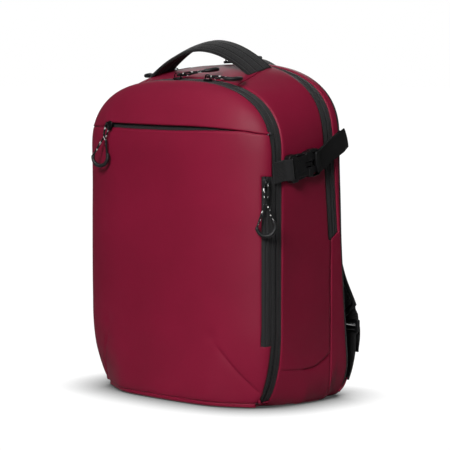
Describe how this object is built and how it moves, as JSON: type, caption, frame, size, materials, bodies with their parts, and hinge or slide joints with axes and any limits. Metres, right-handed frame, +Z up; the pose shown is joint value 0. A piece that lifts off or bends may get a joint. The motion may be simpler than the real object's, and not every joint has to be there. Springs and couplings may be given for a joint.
{
  "type": "travel backpack",
  "caption": "Clamshell travel backpack with arched zips, front pocket zip, quick-access side zip, webbing carry handle, compression straps and a padded harness.",
  "frame": {"origin": "centre of the flat base, on the floor", "axes": "+X to the right when looking at the front, +Y to the rear, where the harness is, +Z up"},
  "size_m": [0.3242, 0.2129, 0.4292],
  "materials": {
    "bag_fabric": "matte coated",
    "zip_tape": "woven",
    "webbing": "woven",
    "air_mesh": "spacer mesh",
    "lining": "plain weave",
    "cord": "braided",
    "black_plastic": "moulded",
    "grip_rubber": "moulded",
    "stiffener": "sheet",
    "slider_metal": "black painted"
  },
  "bodies": {
    "body": {"top_panel": "bag_fabric", "side_panel_right": "bag_fabric", "side_panel_left": "bag_fabric", "base_boot": "bag_fabric", "flap_hinge_strip": "bag_fabric", "rear_wall": "bag_fabric", "main_zip": "zip_tape", "front_zip_body_side": "zip_tape", "divider_panel": "lining", "frame_sheet": "stiffener", "base_stiffener": "stiffener", "back_panel": "air_mesh", "back_pad_right": "air_mesh", "back_pad_left": "air_mesh", "luggage_sleeve": "bag_fabric", "handle_end_right": "webbing", "handle_end_left": "webbing", "hang_loop": "webbing", "lower_webbing_right": "webbing", "lower_webbing_left": "webbing", "strap_yoke": "air_mesh", "compression_patch_right": "webbing", "compression_patch_left": "webbing", "buckle_female_right": "black_plastic", "buckle_female_left": "black_plastic"},
    "front_flap": {"front_zip_flap_side": "zip_tape", "front_upper_panel": "bag_fabric", "front_lower_panel": "bag_fabric", "pocket_zip": "zip_tape", "quick_pocket_zip": "zip_tape", "flap_lining": "lining"},
    "carry_handle": {"carry_handle": "webbing"},
    "shoulder_harness_right": {"shoulder_strap_right": "air_mesh", "ladder_lock_right": "black_plastic"},
    "strap_clip_right": {"buckle_male_right": "black_plastic", "compression_webbing_right": "webbing", "compression_tail_right": "webbing"},
    "shoulder_harness_left": {"shoulder_strap_left": "air_mesh", "ladder_lock_left": "black_plastic"},
    "strap_clip_left": {"buckle_male_left": "black_plastic", "compression_webbing_left": "webbing", "compression_tail_left": "webbing"},
    "pocket_slider": {"pocket_slider": "slider_metal"},
    "pocket_pull": {"pocket_pull_cord": "cord", "pocket_pull_grip": "grip_rubber"},
    "quick_slider": {"quick_slider": "slider_metal"},
    "quick_pull": {"quick_pull_cord": "cord", "quick_pull_grip": "grip_rubber"},
    "front_zip_left_slider": {"front_zip_left_slider": "slider_metal"},
    "front_zip_left_pull": {"front_zip_left_pull_cord": "cord", "front_zip_left_pull_grip": "grip_rubber"},
    "front_zip_right_slider": {"front_zip_right_slider": "slider_metal"},
    "front_zip_right_pull": {"front_zip_right_pull_cord": "cord", "front_zip_right_pull_grip": "grip_rubber"},
    "main_zip_left_slider": {"main_zip_left_slider": "slider_metal"},
    "main_zip_left_pull": {"main_zip_left_pull_cord": "cord", "main_zip_left_pull_grip": "grip_rubber"},
    "main_zip_right_slider": {"main_zip_right_slider": "slider_metal"},
    "main_zip_right_pull": {"main_zip_right_pull_cord": "cord", "main_zip_right_pull_grip": "grip_rubber"}
  },
  "joints": [
    {"name": "front_flap_open", "type": "hinge", "parent": "body", "child": "front_flap", "pos_m": [0, -0.055, 0], "axis": [1, 0, 0], "range_deg": [0, 75]},
    {"name": "carry_handle_flop", "type": "hinge", "parent": "body", "child": "carry_handle", "pos_m": [-0.0085, -0.005, 0.388], "axis": [0.995, 0.1002, 0], "range_deg": [-10, 10], "stiffness_Nm_per_rad": 0.2},
    {"name": "shoulder_strap_swing_right", "type": "hinge", "parent": "body", "child": "shoulder_harness_right", "pos_m": [0.052, 0.074, 0.372], "axis": [1, 0, 0], "range_deg": [0, 10], "stiffness_Nm_per_rad": 0.5},
    {"name": "buckle_release_right", "type": "slide", "parent": "body", "child": "strap_clip_right", "axis": [0, 0.9877, 0.1564], "range_m": [0, 0.045]},
    {"name": "shoulder_strap_swing_left", "type": "hinge", "parent": "body", "child": "shoulder_harness_left", "pos_m": [-0.052, 0.074, 0.372], "axis": [1, 0, 0], "range_deg": [0, 10], "stiffness_Nm_per_rad": 0.5},
    {"name": "buckle_release_left", "type": "slide", "parent": "body", "child": "strap_clip_left", "axis": [0, 0.9877, 0.1564], "range_m": [0, 0.045]},
    {"name": "pocket_slider_run", "type": "hinge", "parent": "front_flap", "child": "pocket_slider", "pos_m": [0, 1.137, 0.3245], "axis": [0, 0, 1], "range_deg": [0, 9.2]},
    {"name": "pocket_pull_lift", "type": "hinge", "parent": "pocket_slider", "child": "pocket_pull", "pos_m": [-0.09046, -0.09583, 0.32459], "axis": [-0.9759, 0.0976, 0.1952], "range_deg": [0, 95]},
    {"name": "quick_slider_run", "type": "slide", "parent": "front_flap", "child": "quick_slider", "axis": [0, 0, -1], "range_m": [0, 0.17]},
    {"name": "quick_pull_lift", "type": "hinge", "parent": "quick_slider", "child": "quick_pull", "pos_m": [0.15147, -0.07326, 0.265], "axis": [-0.7121, -0.7021, 0], "range_deg": [0, 95]},
    {"name": "front_zip_left_slider_run", "type": "slide", "parent": "body", "child": "front_zip_left_slider", "axis": [-0.9998, 0, -0.02], "range_m": [0, 0.03]},
    {"name": "front_zip_left_pull_lift", "type": "hinge", "parent": "front_zip_left_slider", "child": "front_zip_left_pull", "pos_m": [-0.0113, -0.055, 0.38526], "axis": [0.4384, -0.8988, 0.003], "range_deg": [0, 95]},
    {"name": "front_zip_right_slider_run", "type": "slide", "parent": "body", "child": "front_zip_right_slider", "axis": [0.9972, 0, -0.0754], "range_m": [0, 0.04]},
    {"name": "front_zip_right_pull_lift", "type": "hinge", "parent": "front_zip_right_slider", "child": "front_zip_right_pull", "pos_m": [0.03965, -0.055, 0.38421], "axis": [0, -1, 0], "range_deg": [0, 95]},
    {"name": "main_zip_left_slider_run", "type": "slide", "parent": "body", "child": "main_zip_left_slider", "axis": [-0.9186, 0, -0.3952], "range_m": [0, 0.02]},
    {"name": "main_zip_left_pull_lift", "type": "hinge", "parent": "main_zip_left_slider", "child": "main_zip_left_pull", "pos_m": [-0.10503, 0.035, 0.38795], "axis": [0, 1, 0], "range_deg": [0, 95]},
    {"name": "main_zip_right_slider_run", "type": "slide", "parent": "body", "child": "main_zip_right_slider", "axis": [0.9999, 0, 0.0111], "range_m": [0, 0.04]},
    {"name": "main_zip_right_pull_lift", "type": "hinge", "parent": "main_zip_right_slider", "child": "main_zip_right_pull", "pos_m": [-0.01436, 0.035, 0.40322], "axis": [0, -1, 0], "range_deg": [0, 95]}
  ]
}
